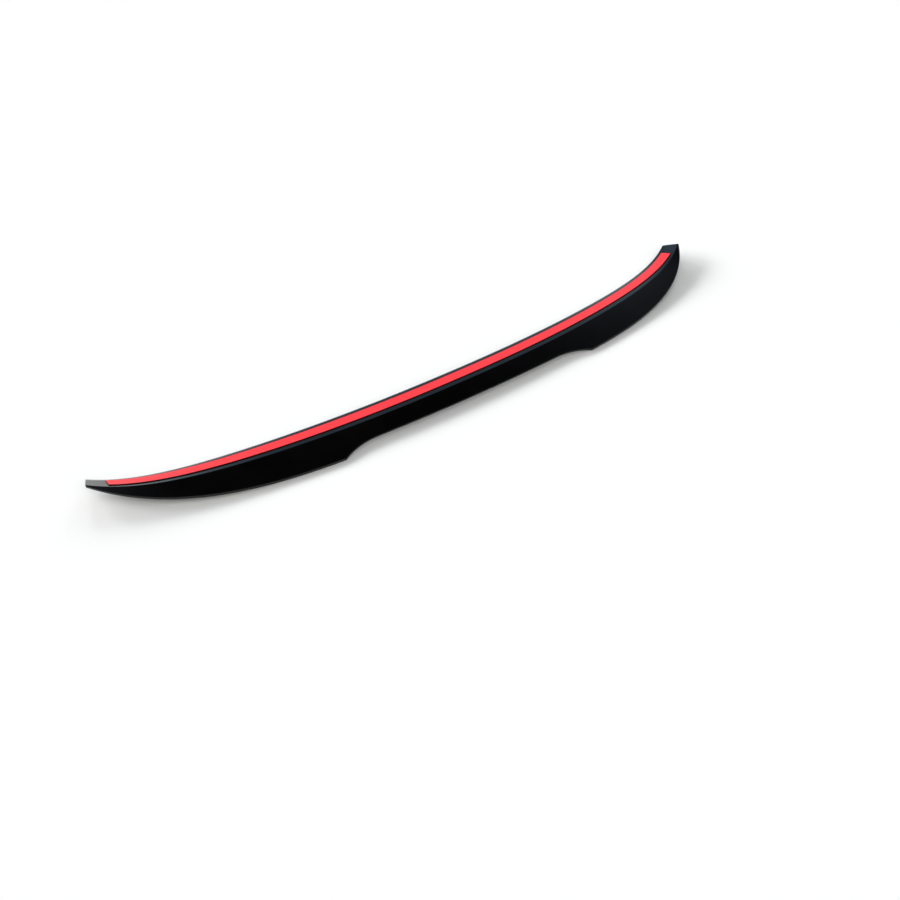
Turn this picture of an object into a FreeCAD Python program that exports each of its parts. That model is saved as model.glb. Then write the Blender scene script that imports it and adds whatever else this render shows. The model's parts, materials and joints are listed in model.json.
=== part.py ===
import FreeCAD, Part
import math
import os
from FreeCAD import Vector

# Rear lip spoiler for a boot lid: one moulded blade, the foam tape on its seat and the tape's release liner.
# The blade is drawn as fitted to a car: X across the car, Y towards its front, Z up, the seat face below.
# It is then turned over and tilted to lie as it comes to rest on a floor, with the tape upwards.

# Front edge of the seat, seen from above and from behind
half_length = 590.0
sweep_depth = 77.5
sweep_power = 2.22
flare_depth = 11.6
flare_power = 11.9
end_drop = 21.4
drop_power = 9.0

# Seat face that is taped to the boot lid
seat_width = 44.1
seat_width_end = 34.4
seat_width_power = 7.7
end_cant = 14.4
cant_power = 3.2
nose_thickness = 2.4
nose_bevel = 0.7

# Blade behind the seat, at the middle of the car and at the two ends
lip_reach = 49.8
lip_reach_end = 0.8
lip_rise = 24.9
lip_rise_end = 4.4
lip_thickness = 5.0
lip_thickness_end = 3.2
lip_rake = 20.0
taper_start = 260.6
taper_power = 2.72
top_hollow = 7.0
heel_setback = 1.6
lip_bevel = 0.8

# Recess in the middle of the lip
recess_depth = 20.4
recess_half_width = 239.9
recess_radius = 3396.0
recess_runout_radius = 131.5

# Foam tape and its liner
tape_margin = 10.3
tape_margin_end = 8.1
tape_width = 21.8
tape_end_gap = 26.6
tape_end_slant = 10.6
foam_thickness = 1.1
liner_thickness = 0.3

# Stations of the lofts, counted from one end to the other
blade_stations = 29
tape_stations = 25
# Distance to each side over which the direction of the front edge is taken
edge_step = 0.5
# Length of cutting solids beyond what they cut
overrun = 30.0


def mixed(end_value, full_value, share):
    """Value between an end and the full form, for a share from 0 to 1."""
    return end_value + (full_value - end_value) * share


def front_edge(x):
    """Point of the front edge at x: it sweeps forwards, flares and drops towards the ends."""
    t = abs(x) / half_length
    swept = sweep_depth * t ** sweep_power + flare_depth * t ** flare_power
    return Vector(x, swept, -end_drop * t ** drop_power)


def edge_direction(x):
    """Direction of the front edge at x, towards the side of positive X."""
    return (front_edge(x + edge_step) - front_edge(x - edge_step)).normalize()


def station_frame(x):
    """Front edge point at x, and the section's directions backwards and upwards, square to the sweep."""
    t = abs(x) / half_length
    turn = math.copysign(math.atan(sweep_depth * sweep_power * t ** (sweep_power - 1.0) / half_length), x)
    cant = math.radians(end_cant) * t ** cant_power
    forward = Vector(-math.sin(turn), math.cos(turn), 0.0)
    up = Vector(0.0, 0.0, 1.0)
    back = forward * -math.cos(cant) - up * math.sin(cant)
    lift = up * math.cos(cant) - forward * math.sin(cant)
    return front_edge(x), back, lift


def blade_share(x):
    """Share of the full blade at x: all of it in the middle, none at the ends."""
    along = max(0.0, abs(x) - taper_start) / (half_length - taper_start)
    return 1.0 - along ** taper_power


def seat_share(x):
    """Share of the full seat at x: all of it in the middle, none at the ends."""
    return 1.0 - (abs(x) / half_length) ** seat_width_power


def seat_width_at(x):
    """Width of the seat face at x."""
    return mixed(seat_width_end, seat_width, seat_share(x))


def tape_front_at(x):
    """Distance of the tape's front edge from that of the seat at x."""
    return mixed(tape_margin_end, tape_margin, seat_share(x))


def lip_top(x):
    """Top corner of the lip at x, as distances back and up in the section."""
    share = blade_share(x)
    return Vector(seat_width_at(x) + mixed(lip_reach_end, lip_reach, share),
                  mixed(lip_rise_end, lip_rise, share), 0.0)


def lip_bottom(x):
    """Bottom corner of the lip at x, as distances back and up in the section."""
    rake = math.radians(lip_rake)
    thickness = mixed(lip_thickness_end, lip_thickness, blade_share(x))
    return lip_top(x) + Vector(math.sin(rake), -math.cos(rake), 0.0) * thickness


def toward(start, end, distance):
    """Point at a distance from start, in the direction of end."""
    return start + (end - start).normalize() * distance


def blade_section(x):
    """Closed outline of the blade at x: seat, heel, underside, lip, hollow top and nose."""
    nose_low, nose_high = Vector(0.0, 0.0, 0.0), Vector(0.0, nose_thickness, 0.0)
    heel = Vector(seat_width_at(x), 0.0, 0.0)
    bottom = lip_bottom(x)
    top = lip_top(x)
    chord = (top - nose_high).normalize()
    hollow = top_hollow * top.y / lip_rise
    top_pull = (top + nose_high) * 0.5 + Vector(chord.y, -chord.x, 0.0) * 2.0 * hollow
    underside_share = (bottom - heel).Length / (lip_bottom(0.0) - Vector(seat_width, 0.0, 0.0)).Length
    setback = heel_setback * underside_share
    seat_start, nose_start = toward(nose_low, heel, nose_bevel), toward(nose_low, nose_high, nose_bevel)
    heel_start, heel_end = toward(heel, nose_low, setback), toward(heel, bottom, setback)
    bottom_start, bottom_end = toward(bottom, heel, lip_bevel), toward(bottom, top, lip_bevel)
    top_end, top_from = toward(top, bottom, lip_bevel), toward(top, top_pull, lip_bevel)
    top_start, nose_end = toward(nose_high, top_pull, nose_bevel), toward(nose_high, nose_low, nose_bevel)
    steps = [
        (seat_start, heel_start),
        (heel_start, heel, heel_end),
        (heel_end, bottom_start),
        (bottom_start, bottom_end),
        (bottom_end, top_end),
        (top_end, top_from),
        (top_from, top_pull, top_start),
        (top_start, nose_end),
        (nose_end, nose_start),
        (nose_start, seat_start),
    ]
    return placed_wire(x, steps)


def placed_wire(x, steps, slant=0.0, pivot=0.0):
    """Wire of straight and curved steps, each given by the poles of a Bezier curve, set in the section at x.

    The section may be turned by a slant, about a line that stands a pivot distance behind the front edge.
    """
    point, back, lift = station_frame(x)
    across = back - edge_direction(x) * math.tan(slant)
    edges = []
    for step in steps:
        curve = Part.BezierCurve()
        curve.setPoles([point + back * pivot + across * (p.x - pivot) + lift * p.y for p in step])
        edges.append(curve.toShape())
    return Part.Wire(edges)


def stations(reach, count):
    """Evenly spaced places from one end to the other."""
    return [reach * (2.0 * i / (count - 1) - 1.0) for i in range(count)]


def recess_cutter():
    """Solid that trims the middle of the lip back, square to the blade."""
    heel = Vector(seat_width, 0.0, 0.0)
    along = lip_bottom(0.0) - heel
    slant = math.atan2(along.y, along.x)
    floor_at = along.Length - recess_depth
    corner_point, corner_back, corner_lift = station_frame(recess_half_width)
    corner_lip = lip_bottom(recess_half_width)
    corner = corner_point + corner_back * corner_lip.x + corner_lift * corner_lip.y
    corner_at = (-corner.y - heel.x) * math.cos(slant) + corner.z * math.sin(slant)
    # The recess floor is an arc about a far centre, and each run-out is an arc that touches it.
    far = recess_radius - floor_at
    reach = math.hypot(corner.x, corner_at + far)
    both = recess_radius + recess_runout_radius
    lean = (reach ** 2 + both ** 2 - recess_runout_radius ** 2) / (2.0 * both * reach)
    touch = math.atan2(corner.x, corner_at + far) - math.acos(lean)
    touch_point = Vector(recess_radius * math.sin(touch), recess_radius * math.cos(touch) - far, 0.0)
    centre = Vector(both * math.sin(touch), both * math.cos(touch) - far, 0.0)
    to_corner = Vector(corner.x, corner_at, 0.0) - centre
    start_angle = math.atan2(touch_point.y - centre.y, touch_point.x - centre.x)
    end_angle = math.atan2(to_corner.y, to_corner.x)
    turn = end_angle - start_angle
    runout = [centre + Vector(math.cos(a), math.sin(a), 0.0) * recess_runout_radius
              for a in (start_angle, start_angle + turn, start_angle + 2.0 * turn)]
    outer = runout[2] + Vector(0.0, overrun, 0.0)
    flipped = [Vector(-p.x, p.y, 0.0) for p in runout]
    edges = [
        Part.Arc(flipped[0], Vector(0.0, floor_at, 0.0), runout[0]).toShape(),
        Part.Arc(*runout).toShape(),
        Part.LineSegment(runout[2], outer).toShape(),
        Part.LineSegment(outer, Vector(-outer.x, outer.y, 0.0)).toShape(),
        Part.LineSegment(Vector(-outer.x, outer.y, 0.0), flipped[2]).toShape(),
        Part.Arc(flipped[2], flipped[1], flipped[0]).toShape(),
    ]
    cutter = Part.Face(Part.Wire(edges)).extrude(Vector(0.0, 0.0, 2.0 * overrun))
    cutter.translate(Vector(0.0, 0.0, -overrun))
    # Drawn with the blade direction along Y: turned to point backwards and up the blade from the heel.
    cutter.rotate(Vector(0.0, 0.0, 0.0), Vector(0.0, 0.0, 1.0), 180.0)
    cutter.rotate(Vector(0.0, 0.0, 0.0), Vector(1.0, 0.0, 0.0), -math.degrees(slant))
    cutter.translate(Vector(0.0, -seat_width, 0.0))
    return cutter


def trimmed(shape, tool):
    """The one solid that is left of a shape when a tool is cut away, its largest if there are scraps."""
    return max(shape.cut(tool).Solids, key=lambda solid: solid.Volume)


def build_blade():
    """The moulded blade: a loft through its sections, trimmed by the recess."""
    wires = [blade_section(x) for x in stations(half_length, blade_stations)]
    return trimmed(Part.makeLoft(wires, True, False), recess_cutter())


def strip(top, bottom):
    """Strip along the seat between two levels, measured upwards from the seat face."""
    end = half_length - tape_end_gap
    wires = []
    for x in stations(end, tape_stations):
        near = tape_front_at(x)
        far = near + tape_width
        corners = [Vector(near, bottom, 0.0), Vector(far, bottom, 0.0), Vector(far, top, 0.0),
                   Vector(near, top, 0.0)]
        # The sections turn along the strip, so that each end's front corner is longer than its back corner.
        slant = math.radians(tape_end_slant) * x / end
        sides = list(zip(corners, corners[1:] + corners[:1]))
        wires.append(placed_wire(x, sides, slant, near + tape_width / 2.0))
    return Part.makeLoft(wires, True, False)


def build_foam(blade):
    """Foam tape, its upper side shaped by the seat face that it sticks to."""
    return trimmed(strip(nose_thickness / 2.0, -foam_thickness), blade)


def build_liner(foam):
    """Release liner, its upper side shaped by the foam."""
    return trimmed(strip(-foam_thickness / 2.0, -foam_thickness - liner_thickness), foam)


def resting_tilt(points, balance):
    """Angle of the floor under points given as (y, z), taken on the span that holds the balance point."""
    under = []
    for spot in sorted(points):
        while len(under) > 1:
            (y1, z1), (y2, z2) = under[-2], under[-1]
            if (y2 - y1) * (spot[1] - z1) > (z2 - z1) * (spot[0] - y1):
                break
            under.pop()
        under.append(spot)
    for (y1, z1), (y2, z2) in zip(under, under[1:]):
        if y1 <= balance <= y2:
            return math.degrees(math.atan2(z2 - z1, y2 - y1))


def laid_down(shapes):
    """Turn the shapes over, tilt them to rest on the lip and the two tips, and centre them on the floor."""
    origin = Vector(0.0, 0.0, 0.0)
    for shape in shapes:
        shape.rotate(origin, Vector(0.0, 1.0, 0.0), 180.0)
    blade = shapes[0]
    points = [(p.y, p.z) for p in blade.tessellate(0.2)[0]]
    tilt = resting_tilt(points, blade.CenterOfMass.y)
    for shape in shapes:
        shape.rotate(origin, Vector(1.0, 0.0, 0.0), -tilt)
    box = Part.makeCompound(shapes).optimalBoundingBox(False, False)
    shift = Vector(-box.Center.x, -box.Center.y, -box.ZMin)
    for shape in shapes:
        shape.translate(shift)
    print("tilt", round(tilt, 2), "size", round(box.XLength, 1), round(box.YLength, 1), round(box.ZLength, 1))


def main():
    """Build the three pieces, lay them down and write one file for each."""
    blade = build_blade()
    foam = build_foam(blade)
    liner = build_liner(foam)
    laid_down([blade, foam, liner])
    os.makedirs("parts", exist_ok=True)
    for name, shape in (("lip_blade", blade), ("foam_tape", foam), ("release_liner", liner)):
        print(name, shape.isValid(), len(shape.Solids), "volume", round(shape.Volume / 1000.0, 1), "cm3")
        shape.exportStep("parts/" + name + ".step")


main()
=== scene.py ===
"""Looks of a stick-on rear lip for a boot lid: moulded blade, foam tape and red release film."""
import json
import logging
import math
from dataclasses import dataclass, field
from enum import Enum
from typing import Any, Callable, Optional, Union

import bmesh
import bpy
from mathutils import Matrix, Vector


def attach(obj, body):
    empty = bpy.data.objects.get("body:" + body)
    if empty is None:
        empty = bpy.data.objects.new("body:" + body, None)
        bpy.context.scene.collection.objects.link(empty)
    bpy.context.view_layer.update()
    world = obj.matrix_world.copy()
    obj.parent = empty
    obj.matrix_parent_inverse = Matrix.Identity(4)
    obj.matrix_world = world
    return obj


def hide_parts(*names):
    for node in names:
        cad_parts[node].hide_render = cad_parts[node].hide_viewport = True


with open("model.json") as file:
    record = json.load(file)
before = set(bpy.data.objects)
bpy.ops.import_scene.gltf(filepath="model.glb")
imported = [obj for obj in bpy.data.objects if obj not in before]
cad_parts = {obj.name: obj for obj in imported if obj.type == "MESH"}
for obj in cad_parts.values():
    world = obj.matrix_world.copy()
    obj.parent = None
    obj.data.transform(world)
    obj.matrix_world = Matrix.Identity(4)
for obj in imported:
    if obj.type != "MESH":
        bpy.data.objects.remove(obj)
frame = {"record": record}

logger = logging.getLogger("rear_lip")
Triple = tuple[float, float, float]
Color = Triple
Stops = tuple[tuple[float, Color], ...]
Value = Union[float, "Signal"]
Ring = list[bmesh.types.BMVert]

# Middle of the range of a noise.
NOISE_MIDDLE = 0.5
# How far large faces lead small ones in the shading, where 50 is even.
SHADING_WEIGHT = 80


class Slot(Enum):
    """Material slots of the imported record."""

    PLASTIC = "black_plastic"
    FOAM = "tape_foam"
    FILM = "liner_film"


class Node(Enum):
    """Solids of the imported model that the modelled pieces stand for."""

    BLADE = "lip_blade"
    FOAM = "foam_tape"
    FILM = "release_liner"


class Mix(Enum):
    """Places of the sockets of a Mix node that mixes colours."""

    FACTOR = 0
    FIRST = 6
    SECOND = 7
    RESULT = 2


class Signal:
    """A shader socket whose maths is written as Python expressions."""

    def __init__(self, graph: "Graph", socket: bpy.types.NodeSocket) -> None:
        """Wrap a socket of a graph."""
        self.graph = graph
        self.socket = socket

    def _math(self, operation: str, first: Value, second: Value) -> "Signal":
        """Add one Math node."""
        return self.graph.node("ShaderNodeMath", {"operation": operation}, [first, second])

    def __add__(self, other: Value) -> "Signal":
        """Sum."""
        return self._math("ADD", self, other)

    __radd__ = __add__

    def __mul__(self, other: Value) -> "Signal":
        """Product."""
        return self._math("MULTIPLY", self, other)

    __rmul__ = __mul__

    def __sub__(self, other: Value) -> "Signal":
        """Difference."""
        return self._math("SUBTRACT", self, other)

    def __rsub__(self, other: Value) -> "Signal":
        """Reflected difference."""
        return self._math("SUBTRACT", other, self)

    def step(self, start: float, end: float) -> "Signal":
        """Smooth step.

        Args:
            start: Input at which the result is 0.
            end: Input at which the result is 1.

        Returns:
            The stepped signal.
        """
        settings = {"interpolation_type": "SMOOTHSTEP"}
        return self.graph.node("ShaderNodeMapRange", settings, [self, start, end, 0.0, 1.0])


class Graph:
    """Node tree of one material or of the world."""

    def __init__(self, tree: bpy.types.NodeTree) -> None:
        """Empty a node tree."""
        self.tree = tree
        tree.nodes.clear()

    def node(self, kind: str, settings: dict[str, Any], inputs: Union[list, dict],
             output: Union[int, str] = 0) -> Optional[Signal]:
        """Add a node.

        Args:
            kind: Node type.
            settings: Properties of the node, set first. A ramp's stops are pairs of place and colour.
            inputs: Values or signals of its sockets, by place or by name. None leaves a socket as it is.
            output: Place or name of the output that is returned.

        Returns:
            The chosen output, or None for a node without outputs.
        """
        made = self.tree.nodes.new(kind)
        for name, value in settings.items():
            if name == "stops":
                self._set_stops(made.color_ramp, value)
            else:
                setattr(made, name, value)
        pairs = inputs.items() if isinstance(inputs, dict) else enumerate(inputs)
        for key, value in pairs:
            if isinstance(value, Signal):
                self.tree.links.new(value.socket, made.inputs[key])
            elif value is not None:
                made.inputs[key].default_value = value
        return Signal(self, made.outputs[output]) if len(made.outputs) else None

    @staticmethod
    def _set_stops(ramp: bpy.types.ColorRamp, stops: Stops) -> None:
        """Set the stops of a new colour ramp.

        Args:
            ramp: The ramp, with the two stops that it starts with.
            stops: Pairs of place and colour, in order.
        """
        while len(ramp.elements) < len(stops):
            ramp.elements.new(0.5)
        for element, (place, color) in zip(ramp.elements, stops):
            element.position = place
            element.color = rgba(color)

    def coordinates(self, output: str = "Object") -> Signal:
        """Texture coordinates of the piece."""
        return self.node("ShaderNodeTexCoord", {}, {}, output)

    def part_of(self, vector: Signal, axis: str) -> Signal:
        """One component of a vector."""
        return self.node("ShaderNodeSeparateXYZ", {}, [vector], axis)

    def noise(self, vector: Signal, scale: float, detail: float = 2.0) -> Signal:
        """Fractal noise from 0 to 1."""
        sockets = {"Vector": vector, "Scale": scale, "Detail": detail}
        return self.node("ShaderNodeTexNoise", {}, sockets, "Fac")

    def streaks(self, vector: Signal, scales: Triple, detail: float = 3.0) -> Signal:
        """Noise that is drawn out along some axes."""
        stretched = self.node("ShaderNodeMapping", {}, {"Vector": vector, "Scale": scales})
        return self.noise(stretched, 1.0, detail)

    def blend(self, share: Value, first: Union[Color, Signal], second: Color) -> Signal:
        """Mix two colours.

        Args:
            share: Share of the second colour.
            first: A colour, or a signal that holds one.
            second: The other colour.

        Returns:
            The mixed colour.
        """
        start = first if isinstance(first, Signal) else rgba(first)
        sockets = {Mix.FACTOR.value: share, Mix.FIRST.value: start, Mix.SECOND.value: rgba(second)}
        return self.node("ShaderNodeMix", {"data_type": "RGBA"}, sockets, Mix.RESULT.value)

    def bump(self, height: Signal, distance: float, normal: Optional[Signal] = None) -> Signal:
        """Bumped normal, with a height of 1 standing a distance proud."""
        return self.node("ShaderNodeBump", {}, {"Height": height, "Distance": distance, "Normal": normal})

    def surface(self, sockets: dict[str, Any]) -> None:
        """End the tree in a principled surface."""
        shader = self.node("ShaderNodeBsdfPrincipled", {}, sockets)
        self.node("ShaderNodeOutputMaterial", {}, [shader])


def rgba(color: Color) -> tuple[float, float, float, float]:
    """Colour with full alpha."""
    return (*color, 1.0)


def new_material(name: str) -> tuple[bpy.types.Material, Graph]:
    """Make a material with an empty node tree.

    Args:
        name: Name of the material.

    Returns:
        The material and the graph of its nodes.
    """
    material = bpy.data.materials.new(name)
    material.use_nodes = True
    return material, Graph(material.node_tree)


@dataclass(frozen=True)
class BlackPlastic:
    """Moulded black plastic: satin where the mould was grained, gloss on the show face, which lies down."""

    color: Color = (0.0007, 0.0007, 0.0008)
    clouded_color: Color = (0.0014, 0.0014, 0.0016)
    ior: float = 1.5
    satin: float = 0.16
    gloss: float = 0.1
    unevenness: float = 0.06
    cloud_scale: float = 22.0
    cloud_detail: float = 4.0
    cloud_start: float = 0.4
    cloud_full: float = 0.75
    grain_start: float = -0.2
    grain_full: float = 0.1
    grain_scale: float = 1400.0
    grain_depth: float = 0.000012
    flow_scales: Triple = (5.0, 90.0, 90.0)
    flow_depth: float = 0.00005

    def make(self) -> bpy.types.Material:
        """Build the material.

        Returns:
            The finish, ready for a piece.
        """
        material, g = new_material("black_plastic_moulded")
        place = g.coordinates()
        upward = g.part_of(g.coordinates("Normal"), "Z")
        grained = upward.step(self.grain_start, self.grain_full)
        cloud = g.noise(place, self.cloud_scale, self.cloud_detail)
        clouded = cloud.step(self.cloud_start, self.cloud_full)
        flow = g.bump(g.streaks(place, self.flow_scales), self.flow_depth)
        grain = g.noise(place, self.grain_scale) * grained
        roughness = self.gloss + grained * (self.satin - self.gloss)
        roughness = roughness + (cloud - NOISE_MIDDLE) * self.unevenness
        g.surface({
            "Base Color": g.blend(clouded, self.color, self.clouded_color),
            "Roughness": roughness,
            "IOR": self.ior,
            "Normal": g.bump(grain, self.grain_depth, flow),
        })
        return material


@dataclass(frozen=True)
class TapeFoam:
    """Black closed-cell foam, seen at its cut edges."""

    color: Color = (0.005, 0.005, 0.0054)
    cell_color: Color = (0.014, 0.014, 0.015)
    roughness: float = 0.92
    specular: float = 0.2
    cell_scale: float = 2400.0
    cell_detail: float = 3.0
    cell_start: float = 0.4
    cell_full: float = 0.65
    cell_depth: float = 0.00012

    def make(self) -> bpy.types.Material:
        """Build the material.

        Returns:
            The finish, ready for a piece.
        """
        material, g = new_material("tape_foam_cells")
        cells = g.noise(g.coordinates(), self.cell_scale, self.cell_detail)
        walls = cells.step(self.cell_start, self.cell_full)
        g.surface({
            "Base Color": g.blend(walls, self.color, self.cell_color),
            "Roughness": self.roughness,
            "Specular IOR Level": self.specular,
            "Normal": g.bump(cells, self.cell_depth),
        })
        return material


@dataclass(frozen=True)
class ReleaseFilm:
    """Red release film, satin, with the faint drawing streaks of a rolled film."""

    color: Color = (0.85, 0.035, 0.045)
    streak_color: Color = (0.79, 0.029, 0.039)
    roughness: float = 0.46
    unevenness: float = 0.12
    specular: float = 0.3
    streak_scales: Triple = (4.0, 420.0, 420.0)
    streak_start: float = 0.4
    streak_full: float = 0.8
    ripple_scales: Triple = (26.0, 40.0, 40.0)
    ripple_depth: float = 0.00025

    def make(self) -> bpy.types.Material:
        """Build the material.

        Returns:
            The finish, ready for a piece.
        """
        material, g = new_material("liner_film_red")
        place = g.coordinates()
        streaks = g.streaks(place, self.streak_scales)
        streaked = streaks.step(self.streak_start, self.streak_full)
        ripple = g.streaks(place, self.ripple_scales)
        g.surface({
            "Base Color": g.blend(streaked, self.color, self.streak_color),
            "Roughness": self.roughness + (streaks - NOISE_MIDDLE) * self.unevenness,
            "Specular IOR Level": self.specular,
            "Normal": g.bump(ripple, self.ripple_depth),
        })
        return material


@dataclass(frozen=True)
class SeatLine:
    """Swept seat of the blade, drawn as fitted to a car: X across it, Y to its front, Z up, in metres."""

    half_length: float = 0.590
    sweep_depth: float = 0.0775
    sweep_power: float = 2.22
    flare_depth: float = 0.0116
    flare_power: float = 11.9
    end_drop: float = 0.0214
    drop_power: float = 9.0
    seat_width: float = 0.0441
    seat_width_end: float = 0.0344
    seat_width_power: float = 7.7
    end_cant: float = 14.4
    cant_power: float = 3.2
    edge_step: float = 0.0005

    def front_edge(self, x: float) -> Vector:
        """Find a point of the front edge.

        Args:
            x: Its place across the car.

        Returns:
            The point, swept forwards and dropped towards the ends.
        """
        t = abs(x) / self.half_length
        swept = self.sweep_depth * t ** self.sweep_power + self.flare_depth * t ** self.flare_power
        return Vector((x, swept, -self.end_drop * t ** self.drop_power))

    def direction(self, x: float) -> Vector:
        """Direction of the front edge at x."""
        return (self.front_edge(x + self.edge_step) - self.front_edge(x - self.edge_step)).normalized()

    def axes(self, x: float) -> tuple[Vector, Vector]:
        """Turn a section with the sweep, and cant it towards the ends.

        Args:
            x: Place of the section along the front edge.

        Returns:
            The directions backwards and upwards of the section.
        """
        t = abs(x) / self.half_length
        slope = self.sweep_depth * self.sweep_power * t ** (self.sweep_power - 1.0) / self.half_length
        turn = math.copysign(math.atan(slope), x)
        cant = math.radians(self.end_cant) * t ** self.cant_power
        forward = Vector((-math.sin(turn), math.cos(turn), 0.0))
        up = Vector((0.0, 0.0, 1.0))
        back = forward * -math.cos(cant) - up * math.sin(cant)
        lift = up * math.cos(cant) - forward * math.sin(cant)
        return back, lift

    def place(self, x: float, spot: Vector, slant: float = 0.0, pivot: float = 0.0) -> Vector:
        """Set a point of a section in space.

        Args:
            x: Place of the section along the front edge.
            spot: Distance behind the front edge, and level above the seat.
            slant: Angle by which the section is turned, in radians.
            pivot: Distance behind the front edge of the line that it is turned about.

        Returns:
            The point, drawn as fitted to a car.
        """
        back, lift = self.axes(x)
        across = back - self.direction(x) * math.tan(slant)
        return self.front_edge(x) + back * pivot + across * (spot.x - pivot) + lift * spot.y

    def seat_share(self, x: float) -> float:
        """Share of the full seat at x: all of it in the middle, none at the ends."""
        return 1.0 - (abs(x) / self.half_length) ** self.seat_width_power

    def seat_width_at(self, x: float) -> float:
        """Width of the seat at x."""
        return mixed(self.seat_width_end, self.seat_width, self.seat_share(x))


@dataclass(frozen=True)
class RestPose:
    """Turn and shift that lay the drawn shapes on the floor, upside down."""

    matrix: Matrix

    @classmethod
    def from_mount(cls, mount: dict[str, Any], drawn: Vector) -> "RestPose":
        """Read the pose from the record.

        Args:
            mount: The record's mount on the tape, with its place and axis.
            drawn: The mount's place as fitted to a car.

        Returns:
            The pose that brings the drawn place to the mount.
        """
        tilt = math.atan2(mount["axis"][1], mount["axis"][2])
        turn = Matrix.Rotation(-tilt, 4, "X") @ Matrix.Rotation(math.pi, 4, "Y")
        return cls(Matrix.Translation(Vector(mount["pos_m"]) - turn @ drawn) @ turn)


def mixed(end_value: float, full_value: float, share: float) -> float:
    """Value between an end and the full form, for a share from 0 to 1."""
    return end_value + (full_value - end_value) * share


def evenly(start: float, end: float, step: float) -> list[float]:
    """Values from start to just before end, about a step apart."""
    count = max(1, round((end - start) / step))
    return [start + (end - start) * i / count for i in range(count)]


def loft(sections: list[list[Vector]]) -> tuple[bmesh.types.BMesh, list[Ring]]:
    """Closed skin through sections.

    Args:
        sections: Closed outlines with as many points each, from one end to the other.

    Returns:
        The bmesh and its rings of vertices.
    """
    form = bmesh.new()
    rings, loops = [], []
    for section in sections:
        ring = [form.verts.new(point) for point in section]
        rings.append(ring)
        loops.append([form.edges.new(pair) for pair in zip(ring, ring[1:] + ring[:1])])
    for first, second in zip(loops, loops[1:]):
        bmesh.ops.bridge_loops(form, edges=first + second)
    for loop in (loops[0], loops[-1]):
        bmesh.ops.contextual_create(form, geom=loop)
    bmesh.ops.recalc_face_normals(form, faces=form.faces)
    return form, rings


def lengthwise(form: bmesh.types.BMesh, rings: list[Ring], place: int) -> list[bmesh.types.BMEdge]:
    """Edges that run from ring to ring at one place of the section."""
    return [form.edges.get((first[place], second[place])) for first, second in zip(rings, rings[1:])]


def sharp_edges(form: bmesh.types.BMesh, least: float) -> list[bmesh.types.BMEdge]:
    """Edges that turn by at least an angle, given in degrees."""
    return [edge for edge in form.edges if edge.calc_face_angle(0.0) > math.radians(least)]


def rounded(form: bmesh.types.BMesh, edges: list[bmesh.types.BMEdge], radius: float, segments: int) -> None:
    """Round edges off."""
    bmesh.ops.bevel(form, geom=edges, offset=radius, offset_type="OFFSET", segments=segments, profile=0.5,
                    affect="EDGES", material=-1, clamp_overlap=True, loop_slide=True)


def as_piece(name: str, form: bmesh.types.BMesh, pose: RestPose) -> bpy.types.Object:
    """Lay a finished form down.

    Args:
        name: Name of the piece.
        form: The bmesh, drawn as fitted to a car, which is freed.
        pose: How it lies.

    Returns:
        The object, at the origin, smoothly shaded.
    """
    bmesh.ops.transform(form, matrix=pose.matrix, verts=form.verts)
    for face in form.faces:
        face.smooth = True
    mesh = bpy.data.meshes.new(name)
    form.to_mesh(mesh)
    form.free()
    piece = bpy.data.objects.new(name, mesh)
    bpy.context.scene.collection.objects.link(piece)
    shading = piece.modifiers.new("even_shading", "WEIGHTED_NORMAL")
    shading.weight = SHADING_WEIGHT
    return piece


def dress(piece: bpy.types.Object, material: bpy.types.Material, node: Node) -> None:
    """Finish a piece and let it stand for its solid.

    Args:
        piece: The modelled piece.
        material: Its finish.
        node: The solid that it stands for.
    """
    piece.data.materials.append(material)
    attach(piece, "root")
    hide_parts(node.value)
    logger.info("%s: %d faces, dressed in %s", piece.name, len(piece.data.polygons), material.name)


@dataclass(frozen=True)
class Recess:
    """Trim of the lip in the middle: a flat arc about a far centre, with a run-out arc at each end."""

    slant: float
    heel: float
    far: float
    radius: float
    runout_radius: float
    runout_x: float
    runout_reach: float
    touch_x: float

    def wall(self, x: float) -> float:
        """Find the trimmed edge at one place.

        Args:
            x: The place along the blade.

        Returns:
            Its distance from the heel, up the blade, or infinity beside the recess.
        """
        if abs(x) <= self.touch_x:
            return math.sqrt(self.radius ** 2 - x ** 2) - self.far
        aside = abs(x) - self.runout_x
        if aside >= self.runout_radius:
            return math.inf
        return self.runout_reach - math.sqrt(self.runout_radius ** 2 - aside ** 2)

    def removes(self, point: Vector) -> bool:
        """Tell whether a drawn point lies beyond the trimmed edge."""
        reach = (-point.y - self.heel) * math.cos(self.slant) + point.z * math.sin(self.slant)
        return reach > self.wall(point.x)


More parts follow.
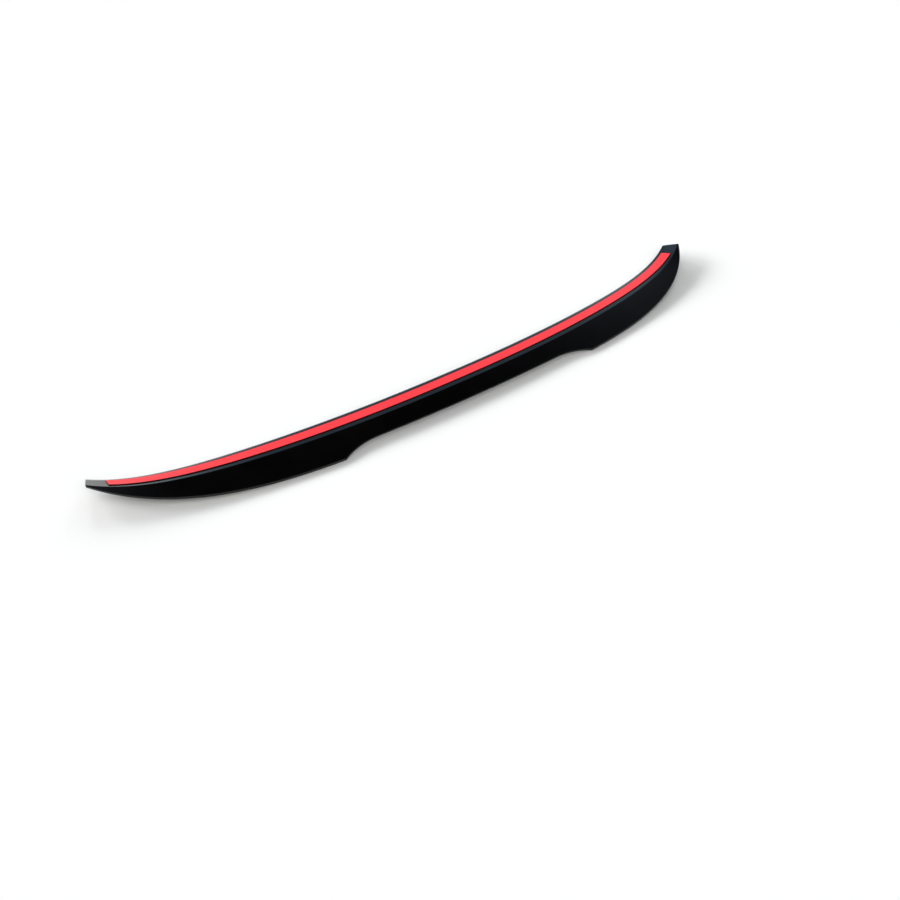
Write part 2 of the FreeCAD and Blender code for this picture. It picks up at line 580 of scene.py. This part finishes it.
@dataclass
class LipBlade:
    """The moulded blade: seat, heel, underside, lip with its recess, hollow show face and nose."""

    line: SeatLine
    nose_thickness: float = 0.0024
    lip_reach: float = 0.0498
    lip_reach_end: float = 0.0008
    lip_rise: float = 0.0249
    lip_rise_end: float = 0.0044
    lip_thickness: float = 0.0050
    lip_thickness_end: float = 0.0032
    lip_rake: float = 20.0
    taper_start: float = 0.2606
    taper_power: float = 2.72
    top_hollow: float = 0.007
    recess_depth: float = 0.0204
    recess_half_width: float = 0.2399
    recess_radius: float = 3.396
    recess_runout_radius: float = 0.1315
    trim_tolerance: float = 1e-6
    edge_radius: float = 0.0006
    edge_allowance: float = 0.00052
    heel_radius: float = 0.0011
    nose_roll: float = 0.0095
    nose_roll_depth: float = 0.0006
    nose_reach: float = 0.0013
    edge_segments: int = 4
    sharp_angle: float = 30.0
    middle_step: float = 0.010
    runout_step: float = 0.003
    hump_step: float = 0.008
    roll_steps: int = 7
    seat_steps: int = 3
    underside_steps: int = 4
    top_steps: int = 14
    piece: bpy.types.Object = field(init=False)

    def share(self, x: float) -> float:
        """Share of the full blade at x: all of it in the middle, none at the ends."""
        along = max(0.0, abs(x) - self.taper_start) / (self.line.half_length - self.taper_start)
        return 1.0 - along ** self.taper_power

    def lip_top(self, x: float) -> Vector:
        """Find the top corner of the lip.

        Args:
            x: Place of the section.

        Returns:
            The corner, less an allowance for its rounding.
        """
        share = self.share(x)
        reach = mixed(self.lip_reach_end, self.lip_reach, share)
        rise = mixed(self.lip_rise_end, self.lip_rise, share)
        return Vector((self.line.seat_width_at(x) + reach, rise - self.edge_allowance))

    def lip_bottom(self, x: float) -> Vector:
        """Find the bottom corner of the lip.

        Args:
            x: Place of the section.

        Returns:
            The corner, at the foot of the raked lip.
        """
        rake = math.radians(self.lip_rake)
        thickness = mixed(self.lip_thickness_end, self.lip_thickness, self.share(x))
        return self.lip_top(x) + Vector((math.sin(rake), -math.cos(rake))) * thickness

    def nose_place(self, x: float) -> float:
        """Distance of the nose behind the front edge at x, below 0 where it stands further forward."""
        return -self.nose_reach * self.line.seat_share(x)

    def seat(self, x: float) -> list[Vector]:
        """Lay out the seat, which rolls off towards its front edge.

        Args:
            x: Place of the section.

        Returns:
            Its points, from the front edge to just before the heel.
        """
        front = self.nose_place(x)
        start = front + self.nose_roll
        flat = self.line.seat_width_at(x) - start
        spots = []
        for i in range(self.roll_steps):
            share = i / self.roll_steps
            level = self.nose_roll_depth * (1.0 - share) ** 2
            spots.append(Vector((front + self.nose_roll * share, level)))
        spots += [Vector((start + flat * i / self.seat_steps, 0.0)) for i in range(self.seat_steps)]
        return spots

    def show_face(self, x: float) -> Callable[[float], Vector]:
        """Draw the hollow curve of the show face.

        Args:
            x: Place of the section.

        Returns:
            The curve from the nose to the lip, over a share from 0 to 1.
        """
        nose = Vector((self.nose_place(x), self.nose_thickness - self.edge_allowance))
        top = self.lip_top(x)
        chord = (top - nose).normalized()
        hollow = self.top_hollow * top.y / self.lip_rise
        # In its middle the curve goes half of the way to the point that pulls it.
        pull = (top + nose) * 0.5 + Vector((chord.y, -chord.x)) * 2.0 * hollow
        return lambda u: nose.lerp(pull, u).lerp(pull.lerp(top, u), u)

    def underside(self, x: float) -> Callable[[float], Vector]:
        """Straight underside at x, from the heel to the lip, over a share from 0 to 1."""
        heel, bottom = Vector((self.line.seat_width_at(x), 0.0)), self.lip_bottom(x)
        return lambda u: heel.lerp(bottom, u)

    def recess(self) -> Recess:
        """Work out the arcs of the recess from its depth, width and radii.

        Returns:
            The trim of the lip.
        """
        heel = self.line.seat_width
        along = self.lip_bottom(0.0) - Vector((heel, 0.0))
        slant = math.atan2(along.y, along.x)
        far = self.recess_radius - along.length + self.recess_depth
        corner = self.line.place(self.recess_half_width, self.lip_bottom(self.recess_half_width))
        corner_reach = (-corner.y - heel) * math.cos(slant) + corner.z * math.sin(slant)
        both = self.recess_radius + self.recess_runout_radius
        span = math.hypot(corner.x, corner_reach + far)
        lean = (span ** 2 + both ** 2 - self.recess_runout_radius ** 2) / (2.0 * both * span)
        touch = math.atan2(corner.x, corner_reach + far) - math.acos(lean)
        return Recess(slant=slant, heel=heel, far=far, radius=self.recess_radius,
                      runout_radius=self.recess_runout_radius, runout_x=both * math.sin(touch),
                      runout_reach=both * math.cos(touch) - far,
                      touch_x=self.recess_radius * math.sin(touch))

    def kept(self, x: float, curve: Callable[[float], Vector], recess: Recess) -> float:
        """Find how much of a curve the recess leaves.

        Args:
            x: Place of the section.
            curve: Curve of the section that runs to the lip.
            recess: The trim.

        Returns:
            The share of the curve that is left.
        """
        if not recess.removes(self.line.place(x, curve(1.0))):
            return 1.0
        low, high = 0.0, 1.0
        while high - low > self.trim_tolerance:
            middle = (low + high) / 2.0
            if recess.removes(self.line.place(x, curve(middle))):
                high = middle
            else:
                low = middle
        return low

    def section(self, x: float, recess: Recess) -> list[Vector]:
        """Draw the outline of the blade.

        Args:
            x: Place of the section.
            recess: The trim.

        Returns:
            Its points, from the nose over the seat, the underside, the lip and the show face.
        """
        under, show = self.underside(x), self.show_face(x)
        under_share, show_share = self.kept(x, under, recess), self.kept(x, show, recess)
        spots = self.seat(x)
        spots += [under(under_share * i / self.underside_steps) for i in range(self.underside_steps + 1)]
        spots += [show(show_share * (1.0 - i / self.top_steps)) for i in range(self.top_steps + 1)]
        return [self.line.place(x, spot) for spot in spots]

    def stations(self, recess: Recess) -> list[float]:
        """Choose the places of the sections.

        Args:
            recess: The trim.

        Returns:
            The places in order, closest together on the run-outs of the recess.
        """
        half = evenly(0.0, recess.touch_x, self.middle_step)
        half += evenly(recess.touch_x, self.recess_half_width, self.runout_step)
        half += evenly(self.recess_half_width, self.line.half_length, self.hump_step)
        half.append(self.line.half_length)
        return [-x for x in reversed(half[1:])] + half

    def build(self, pose: RestPose) -> None:
        """Loft the blade and round its edges.

        Args:
            pose: How it lies.
        """
        recess = self.recess()
        form, rings = loft([self.section(x, recess) for x in self.stations(recess)])
        heel = lengthwise(form, rings, self.roll_steps + self.seat_steps)
        rounded(form, heel, self.heel_radius, self.edge_segments)
        rounded(form, sharp_edges(form, self.sharp_angle), self.edge_radius, self.edge_segments)
        self.piece = as_piece("moulded_blade", form, pose)

    def dress(self, plastic: BlackPlastic) -> None:
        """Give the blade its finish."""
        dress(self.piece, plastic.make(), Node.BLADE)


@dataclass
class AdhesiveTape:
    """Foam tape along the seat and the film over it, with slanting ends."""

    line: SeatLine
    margin: float = 0.0103
    margin_end: float = 0.0081
    width: float = 0.0218
    end_gap: float = 0.0266
    end_slant: float = 10.6
    foam_thickness: float = 0.0011
    film_thickness: float = 0.0003
    foam_edge: float = 0.0002
    film_edge: float = 0.00008
    edge_segments: int = 2
    sharp_angle: float = 30.0
    station_step: float = 0.008
    width_steps: int = 6
    foam: bpy.types.Object = field(init=False)
    film: bpy.types.Object = field(init=False)

    def outer_middle(self) -> Vector:
        """Middle of the film's outer face, drawn as fitted to a car."""
        level = -self.foam_thickness - self.film_thickness
        return self.line.place(0.0, Vector((self.margin + self.width / 2.0, level)))

    def section(self, x: float, inner: float, outer: float) -> list[Vector]:
        """Draw the outline of a layer.

        Args:
            x: Place of the section.
            inner: Level of its side towards the seat.
            outer: Level of its other side.

        Returns:
            Its points, slanted more and more towards the ends.
        """
        end = self.line.half_length - self.end_gap
        front = mixed(self.margin_end, self.margin, self.line.seat_share(x))
        across = [front + self.width * i / self.width_steps for i in range(self.width_steps + 1)]
        spots = [Vector((distance, inner)) for distance in across]
        spots += [Vector((distance, outer)) for distance in reversed(across)]
        slant = math.radians(self.end_slant) * x / end
        return [self.line.place(x, spot, slant, front + self.width / 2.0) for spot in spots]

    def layer(self, name: str, inner: float, outer: float, edge: float, pose: RestPose) -> bpy.types.Object:
        """Loft one layer of the tape.

        Args:
            name: Name of the piece.
            inner: Level of its side towards the seat.
            outer: Level of its other side.
            edge: Radius of its edges.
            pose: How it lies.

        Returns:
            The piece.
        """
        end = self.line.half_length - self.end_gap
        places = evenly(-end, end, self.station_step) + [end]
        form, _ = loft([self.section(x, inner, outer) for x in places])
        rounded(form, sharp_edges(form, self.sharp_angle), edge, self.edge_segments)
        return as_piece(name, form, pose)

    def build(self, pose: RestPose) -> None:
        """Loft the foam and the film.

        Args:
            pose: How they lie.
        """
        outer = -self.foam_thickness
        self.foam = self.layer("foam_strip", 0.0, outer, self.foam_edge, pose)
        self.film = self.layer("film_strip", outer, outer - self.film_thickness, self.film_edge, pose)

    def dress(self, foam: TapeFoam, film: ReleaseFilm) -> None:
        """Give the two layers their finishes."""
        dress(self.foam, foam.make(), Node.FOAM)
        dress(self.film, film.make(), Node.FILM)


@dataclass(frozen=True)
class Lamp:
    """A soft distant lamp.

    The level is the brightness that it gives a white floor, where 1 is white. The azimuth turns from +Y
    towards +X, and the spread is its apparent size. Both are in degrees, as the elevation is.
    """

    name: str
    elevation: float
    azimuth: float
    level: float
    spread: float
    color: Color = (1.0, 1.0, 1.0)

    def hang(self) -> None:
        """Add the lamp to the scene, where gloss mirrors the room and not the lamp."""
        light = bpy.data.lights.new(self.name, "SUN")
        light.energy = math.pi * self.level / math.sin(math.radians(self.elevation))
        light.angle = math.radians(self.spread)
        light.color = self.color
        holder = bpy.data.objects.new(self.name, light)
        bpy.context.scene.collection.objects.link(holder)
        up, turn = math.radians(self.elevation), math.radians(self.azimuth)
        toward = Vector((math.sin(turn) * math.cos(up), math.cos(turn) * math.cos(up), math.sin(up)))
        holder.rotation_euler = toward.to_track_quat("Z", "Y").to_euler()
        holder.visible_glossy = False


@dataclass
class Studio:
    """White floor, low strips of light behind, a soft box in front, a room and the camera.

    The room is what the plastic mirrors: colours by height, from 0 at the horizon to 1 overhead. It is pale
    blue low down, with a blue panel at a third, dark above that and light at the top. By its lean the
    bands stand higher towards +X. The camera looks along +Y, turned about Z by its turn and down by its
    dip, in degrees.
    """

    floor_size: float = 40.0
    floor_color: Color = (0.97, 0.97, 0.97)
    lamps: tuple[Lamp, ...] = (
        Lamp("far_left_strip", elevation=17.0, azimuth=-64.0, level=0.1, spread=18.0),
        Lamp("left_strip", elevation=17.0, azimuth=-38.0, level=0.17, spread=18.0),
        Lamp("back_strip", elevation=17.0, azimuth=-12.0, level=0.15, spread=18.0),
        Lamp("right_strip", elevation=17.0, azimuth=18.0, level=0.11, spread=18.0),
        Lamp("far_right_strip", elevation=17.0, azimuth=50.0, level=0.07, spread=18.0),
        Lamp("front_box", elevation=30.0, azimuth=180.0, level=0.21, spread=50.0, color=(1.0, 0.97, 0.9)),
    )
    room: Stops = (
        (0.0, (0.65, 0.9, 0.98)),
        (0.04, (0.36, 0.5, 0.58)),
        (0.16, (0.2, 0.29, 0.37)),
        (0.235, (0.08, 0.125, 0.165)),
        (0.33, (0.42, 0.6, 0.8)),
        (0.42, (0.15, 0.16, 0.185)),
        (0.62, (0.02, 0.02, 0.022)),
        (0.72, (0.004, 0.004, 0.004)),
        (0.87, (0.03, 0.03, 0.03)),
        (0.96, (0.8, 0.78, 0.75)),
    )
    room_lean: float = 0.2
    backdrop_color: Color = (1.0, 1.0, 1.0)
    camera_place: Triple = (-0.892866, -1.230408, 1.087534)
    camera_dip: float = 39.3508
    camera_turn: float = -36.2663
    sensor_width: float = 36.0
    lens: float = 44.6618

    def build(self) -> None:
        """Make the floor, the lamps, the room and the camera."""
        self.lay_floor()
        for lamp in self.lamps:
            lamp.hang()
        self.paint_room()
        self.set_camera()

    def lay_floor(self) -> None:
        """Make the floor."""
        mesh = bpy.data.meshes.new("floor")
        form = bmesh.new()
        bmesh.ops.create_grid(form, x_segments=1, y_segments=1, size=self.floor_size / 2.0)
        form.to_mesh(mesh)
        form.free()
        floor = bpy.data.objects.new("floor", mesh)
        bpy.context.scene.collection.objects.link(floor)
        material, g = new_material("floor_white")
        g.surface({"Base Color": rgba(self.floor_color), "Roughness": 1.0, "Specular IOR Level": 0.0})
        mesh.materials.append(material)

    def paint_room(self) -> None:
        """Make the world: the room that the part mirrors, and a plain backdrop for the camera."""
        world = bpy.data.worlds.new("room")
        world.use_nodes = True
        bpy.context.scene.world = world
        g = Graph(world.node_tree)
        toward = g.coordinates("Generated")
        height = g.part_of(toward, "Z") - g.part_of(toward, "X") * self.room_lean
        mirrored = g.node("ShaderNodeValToRGB", {"stops": self.room}, [height])
        seen = g.node("ShaderNodeLightPath", {}, {}, "Is Camera Ray")
        color = g.blend(seen, mirrored, self.backdrop_color)
        g.node("ShaderNodeOutputWorld", {}, [g.node("ShaderNodeBackground", {}, [color])])

    def set_camera(self) -> None:
        """Set the camera at the photograph's place."""
        data = bpy.data.cameras.new("camera")
        data.sensor_width = self.sensor_width
        data.lens = self.lens
        camera = bpy.data.objects.new("camera", data)
        bpy.context.scene.collection.objects.link(camera)
        camera.location = self.camera_place
        tilt = math.radians(90.0 - self.camera_dip)
        camera.rotation_euler = (tilt, 0.0, math.radians(self.camera_turn))
        bpy.context.scene.camera = camera


def main() -> None:
    """Build the scene."""
    logging.basicConfig(level=logging.INFO)
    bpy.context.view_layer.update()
    line = SeatLine()
    blade, tape = LipBlade(line), AdhesiveTape(line)
    pose = RestPose.from_mount(frame["record"]["mounts"][0], tape.outer_middle())
    blade.build(pose)
    blade.dress(BlackPlastic())
    tape.build(pose)
    tape.dress(TapeFoam(), ReleaseFilm())
    Studio().build()
    bpy.context.scene.view_settings.view_transform = "Standard"


if __name__ == "__main__":
    main()
